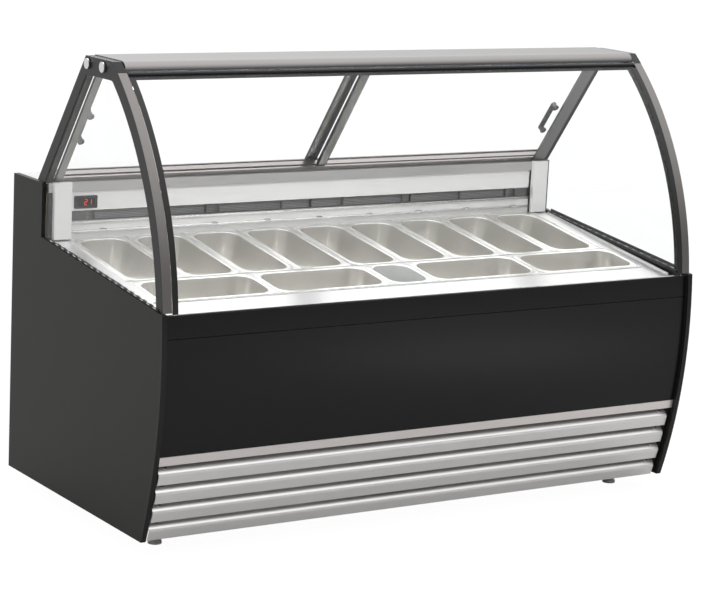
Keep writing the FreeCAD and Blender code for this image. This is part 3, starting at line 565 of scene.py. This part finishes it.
# ---------------------------------------------------------------- temperature display

SEGMENTS = {"2": "abged", "1": "bc"}


def segment_box(letter, width, height, line):
    """Low and high corner of one bar of a seven-segment digit."""
    middle = height / 2
    bars = {
        "a": ((line, height - line), (width - line, height)),
        "b": ((width - line, middle + line / 2), (width, height - line)),
        "c": ((width - line, line), (width, middle - line / 2)),
        "d": ((line, 0), (width - line, line)),
        "e": ((0, line), (line, middle - line / 2)),
        "f": ((0, middle + line / 2), (line, height - line)),
        "g": ((line, middle - line / 2), (width - line, middle + line / 2)),
    }
    return bars[letter]


def display_digits():
    low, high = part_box("temperature_display")
    face = low.y
    builder = Builder()
    width, height, line, gap = 0.0090, 0.0165, 0.0013, 0.0045
    start = (low.x + high.x) / 2 - width - gap / 2 + 0.006
    base = (low.z + high.z) / 2 - height / 2
    for number, digit in enumerate("21"):
        left = start + number * (width + gap)
        for letter in SEGMENTS[digit]:
            (x0, z0), (x1, z1) = segment_box(letter, width, height, line)
            builder.box((left + x0, face - 0.0006, base + z0), (left + x1, face - 0.0001, base + z1))
    builder.finish("display_digits", "cabinet", RED_SEGMENT, smooth=False)


display_digits()

# ---------------------------------------------------------------- lamp under the canopy


def led_points():
    """Rows of chips shining down and back from under the lamp's housing."""
    low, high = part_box("led_strip")
    builder = Builder()
    pitch, half_chip, margin, edge = 0.0167, 0.0045, 0.01, 0.008
    count = int((high.x - low.x - 2 * margin) / pitch)
    for index in range(count):
        x = low.x + margin + pitch * (index + 0.5)
        builder.box((x - half_chip, low.y + edge, low.z - 0.0008), (x + half_chip, high.y - edge, low.z))
    builder.finish("led_points", "cabinet", LED_POINT, smooth=False)


led_points()

# ---------------------------------------------------------------- small sheet metal


def deck_point(u, v, w):
    """From the deck's own axes, metres, to the row frame."""
    slope_y, slope_z = math.cos(DECK_SLOPE), math.sin(DECK_SLOPE)
    return Vector((u, DECK_ORIGIN.y + v * slope_y - w * slope_z, DECK_ORIGIN.z + v * slope_z + w * slope_y))


def ridge_section(width, height, steps=4):
    """Half-round bead seen end on: across and up."""
    points = [(-width / 2, 0)]
    for step in range(steps + 1):
        angle = math.pi * (1 - step / steps)
        points.append((width / 2 * math.cos(angle), height * (0.45 + 0.55 * math.sin(angle))))
    points.append((width / 2, 0))
    return points


def deck_ridge(builder, start, end, width=0.0028, height=0.0022):
    """A bead on the deck from one (u, v) to another."""
    run = Vector((end[0] - start[0], end[1] - start[1]))
    across = Vector((-run.y, run.x)).normalized()
    rings = []
    for u, v in (start, end):
        section = ridge_section(width, height)
        rings.append([deck_point(u + across.x * s, v + across.y * s, w) for s, w in section])
    builder.loft(rings)


def deck_beads():
    """Folded hanging rails between the pans and along the front row."""
    first, last = 0.1695, 0.5365
    builder = Builder()
    for gap in range(-5, 5):
        middle = REAR_PITCH * (gap + 0.5)
        for side in (-0.0032, 0.0032):
            deck_ridge(builder, (middle + side, first), (middle + side, last))
    for v in (-0.0045, -0.0115):
        deck_ridge(builder, (-0.812, v), (0.812, v))
    deck_ridge(builder, (-0.806, 0.1685), (0.806, 0.1685), 0.0022)
    builder.finish("pan_rail_beads", "cabinet", MIRROR_STEEL)


def duct_lips():
    """Two folded lips under the air slot, the lower one with hanging tabs."""
    low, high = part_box("rear_duct_panel")
    face = low.y
    builder = Builder()
    for z, reach, depth in ((0.7850, 0.006, 0.0025), (0.7600, 0.010, 0.003)):
        section = [(face, z - depth), (face - reach * 0.8, z - depth), (face - reach, z - depth * 0.4),
                   (face - reach, z + depth * 0.4), (face - reach * 0.8, z + depth), (face, z + depth)]
        rings = [[(x, y, up) for y, up in section] for x in (low.x + 0.004, high.x - 0.004)]
        builder.loft(rings)
    for index in range(9):
        x = REAR_PITCH * (index - 4) + 0.02
        builder.box((x - 0.008, face - 0.0115, 0.7585), (x + 0.008, face - 0.0095, 0.7660))
        builder.box((x - 0.008, face - 0.0115, 0.7645), (x + 0.008, face - 0.0005, 0.7660))
    builder.finish("duct_lips", "cabinet", MIRROR_STEEL)


SEAL_SLOPE = math.atan2(SEAL_HEAD[1] - SEAL_FOOT[1], SEAL_HEAD[0] - SEAL_FOOT[0])
SEAL_TURN = Matrix.Rotation(SEAL_SLOPE, 4, "X")


def seal_height(y):
    """Z of an end pane's foot at y."""
    return SEAL_FOOT[1] + (y - SEAL_FOOT[0]) * math.tan(SEAL_SLOPE)


def setting_blocks():
    """Short bright clips that hold the gasket along the end panes and the front glass."""
    builder = Builder()
    side_pitch, front_pitch = 0.0365, 0.047
    for side in (-1, 1):
        for index in range(17):
            y = -0.385 + side_pitch * index
            spot = Matrix.Translation((side * 0.8560, y, seal_height(y) + 0.0004)) @ SEAL_TURN
            builder.box((-0.0018, -0.008, -0.003), (0.0018, 0.008, 0.0008), spot)
    for index in range(36):
        x = -0.822 + front_pitch * index
        builder.box((x - 0.010, -0.4415, 0.6630), (x + 0.010, -0.4395, 0.6642))
    builder.finish("gasket_clips", "cabinet", LOOKS["chrome"], smooth=False)


def pane_seals():
    """Black beaded seals outside the foot of both end panes, with bright dashes."""
    seal = Builder()
    dashes = Builder()
    length, middle, pitch = 0.66, -0.095, 0.0362
    for side in (-1, 1):
        spot = Matrix.Translation((side * 0.8697, middle, seal_height(middle))) @ SEAL_TURN
        seal.box((-0.0012, -length / 2, 0.0002), (0.0012, length / 2, 0.0062), spot)
        for index in range(18):
            start = -length / 2 + 0.012 + pitch * index
            low = (side * 0.0012 - 0.0003, start, 0.0026)
            high = (side * 0.0012 + 0.0003, start + 0.016, 0.0050)
            dashes.box(low, high, spot)
    seal.finish("pane_seals", "cabinet", LOOKS["gasket"], smooth=False)
    dashes.finish("pane_seal_clips", "cabinet", LOOKS["chrome"], smooth=False)


def arch_caps():
    """Black end caps over the top of both arch strips."""
    radius = GLASS_RADIUS + 0.0006
    for side, label in ((-1, "left"), (1, "right")):
        near, far = 0.8422 * side, 0.8682 * side
        rings = []
        for angle in spread(arch_angle(1.252), arch_angle(ARCH_TOP - 0.0006), 6):
            (y0, z0), (y1, z1) = arch_point(angle, GLASS_RADIUS - 0.001), arch_point(angle, radius)
            z1 = min(z1, ARCH_TOP + 0.001)
            rings.append([(near, y0, z0), (far, y0, z0), (far, y1, z1), (near, y1, z1)])
        builder = Builder()
        builder.loft(rings)
        builder.finish(f"{label}_arch_cap", "cabinet", LOOKS["trim_black"])


def display_screen():
    low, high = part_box("temperature_display")
    builder = Builder()
    start = (low.x + 0.012, low.y - 0.0002, low.z + 0.007)
    end = (high.x - 0.008, low.y + 0.001, high.z - 0.007)
    builder.box(start, end)
    builder.finish("display_screen", "cabinet", LOOKS["trim_black"], smooth=False)


def air_straightener():
    """Thin tilted vanes along the air slot, with a slim bracket at every second pan, all in dark steel as
    painted shade for the deep recess.
    """
    low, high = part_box("air_grille")
    front, back = high.y + 0.0004, low.y + 0.0125
    inner_low, inner_high = low.x + 0.006, high.x - 0.006
    builder = Builder()
    section = ((front, 0.0), (back, -0.0015), (back, -0.0007), (front, 0.0008))
    vanes = 6
    step = (high.z - low.z - 0.006) / (vanes - 1)
    for index in range(vanes):
        z = low.z + 0.0025 + step * index
        builder.loft([[(x, y, z + rise) for y, rise in section] for x in (inner_low, inner_high)])
    bracket_pitch = 0.355
    for index in range(-2, 3):
        x = bracket_pitch * index
        builder.box((x - 0.0015, front - 0.0002, low.z + 0.001), (x + 0.0015, back, high.z - 0.001))
    builder.finish("air_straightener", "cabinet", SLOT_STEEL_PAINTED_SHADE, smooth=False)


deck_beads()
air_straightener()
duct_lips()
setting_blocks()
pane_seals()
arch_caps()
display_screen()

# ---------------------------------------------------------------- stage, light and camera


def seen_directly(tree):
    """1 where a ray comes straight from the eye or through clear glass only, else 0."""
    path = tree.nodes.new("ShaderNodeLightPath")
    steps = []
    for operation in ("ADD", "LESS_THAN", "MULTIPLY", "MAXIMUM"):
        node = tree.nodes.new("ShaderNodeMath")
        node.operation = operation
        steps.append(node)
    bounced, none, through, direct = steps
    tree.links.new(path.outputs["Diffuse Depth"], bounced.inputs[0])
    tree.links.new(path.outputs["Glossy Depth"], bounced.inputs[1])
    tree.links.new(bounced.outputs[0], none.inputs[0])
    none.inputs[1].default_value = 0.5
    tree.links.new(none.outputs[0], through.inputs[0])
    tree.links.new(path.outputs["Is Transmission Ray"], through.inputs[1])
    tree.links.new(through.outputs[0], direct.inputs[0])
    tree.links.new(path.outputs["Is Camera Ray"], direct.inputs[1])
    return direct.outputs[0]


def stage():
    size = 12.0
    white_level, white_share = 1.05, 0.93
    points = [(-size, -size, 0), (size, -size, 0), (size, size, 0), (-size, size, 0)]
    look = Look("floor", (0.42, 0.42, 0.42), 0.9)
    look.vary_color(look.noise(1.5), 0.99, 1.01)
    white = look.add("ShaderNodeEmission")
    white.inputs["Color"].default_value = (1, 1, 1, 1)
    white.inputs["Strength"].default_value = white_level
    share = look.add("ShaderNodeMath", operation="MULTIPLY")
    share.inputs[1].default_value = white_share
    mix = look.add("ShaderNodeMixShader")
    look.link(seen_directly(look.tree), share.inputs[0])
    look.link(share.outputs[0], mix.inputs["Fac"])
    look.link(look.shader.outputs["BSDF"], mix.inputs[1])
    look.link(white.outputs["Emission"], mix.inputs[2])
    look.link(mix.outputs["Shader"], look.tree.nodes["Material Output"].inputs["Surface"])
    mesh = bpy.data.meshes.new("floor")
    mesh.from_pydata(points, [], [(0, 1, 2, 3)])
    obj = bpy.data.objects.new("floor", mesh)
    bpy.context.scene.collection.objects.link(obj)
    wear(obj, look.material)


def floor_pool(name, spot, cone, power):
    """A soft pool of light on the floor, for the front panel to mirror."""
    light = bpy.data.lights.new(name, "SPOT")
    light.energy = power
    light.spot_size = math.radians(cone)
    light.spot_blend = 1.0
    light.shadow_soft_size = 0.15
    obj = bpy.data.objects.new(name, light)
    obj.location = spot
    bpy.context.scene.collection.objects.link(obj)


def world():
    """White behind the object; softer light from above and behind for its surfaces."""
    sky = bpy.data.worlds.new("studio")
    sky.use_nodes = True
    tree = sky.node_tree
    place = tree.nodes.new("ShaderNodeTexCoord")
    axes = tree.nodes.new("ShaderNodeSeparateXYZ")
    tree.links.new(place.outputs["Generated"], axes.inputs["Vector"])
    parts = []
    for axis, start, end, low, high in (("Z", 0.10, 0.80, 0.20, 1.9), ("Y", 0.3, 0.95, 0.0, 0.80)):
        node = tree.nodes.new("ShaderNodeMapRange")
        for socket, value in zip(("From Min", "From Max", "To Min", "To Max"), (start, end, low, high)):
            node.inputs[socket].default_value = value
        tree.links.new(axes.outputs[axis], node.inputs["Value"])
        parts.append(node.outputs["Result"])
    light = tree.nodes.new("ShaderNodeMath")
    light.operation = "ADD"
    tree.links.new(parts[0], light.inputs[0])
    tree.links.new(parts[1], light.inputs[1])
    strength = tree.nodes.new("ShaderNodeMix")
    strength.data_type = "FLOAT"
    tree.links.new(seen_directly(tree), strength.inputs["Factor"])
    tree.links.new(light.outputs[0], strength.inputs["A"])
    strength.inputs["B"].default_value = 1.05
    background = tree.nodes["Background"]
    background.inputs["Color"].default_value = (1, 1, 1, 1)
    tree.links.new(strength.outputs["Result"], background.inputs["Strength"])
    bpy.context.scene.world = sky


CAMERA_SPOT = (-3.7634, -5.8108, 1.9461)
CAMERA_TURN = (32.936, 11.429, 2.734)  # yaw, pitch and roll in degrees


def camera():
    yaw, pitch, roll = (math.radians(a) for a in CAMERA_TURN)
    forward = Vector((math.sin(yaw) * math.cos(pitch), math.cos(yaw) * math.cos(pitch), -math.sin(pitch)))
    level = Vector((math.cos(yaw), -math.sin(yaw), 0))
    rise = level.cross(forward)
    right = level * math.cos(roll) + rise * math.sin(roll)
    up = -level * math.sin(roll) + rise * math.cos(roll)
    data = bpy.data.cameras.new("camera")
    data.sensor_width = 36
    data.lens = 123.77
    data.clip_end = 100
    obj = bpy.data.objects.new("camera", data)
    turn = Matrix((right, up, -forward)).transposed().to_4x4()
    obj.matrix_world = Matrix.Translation(CAMERA_SPOT) @ turn
    bpy.context.scene.collection.objects.link(obj)
    bpy.context.scene.camera = obj


stage()
world()
floor_pool("floor_pool", (1.2, -2.1, 3.6), 26, 1500)
camera()
bpy.context.scene.view_settings.view_transform = "Standard"
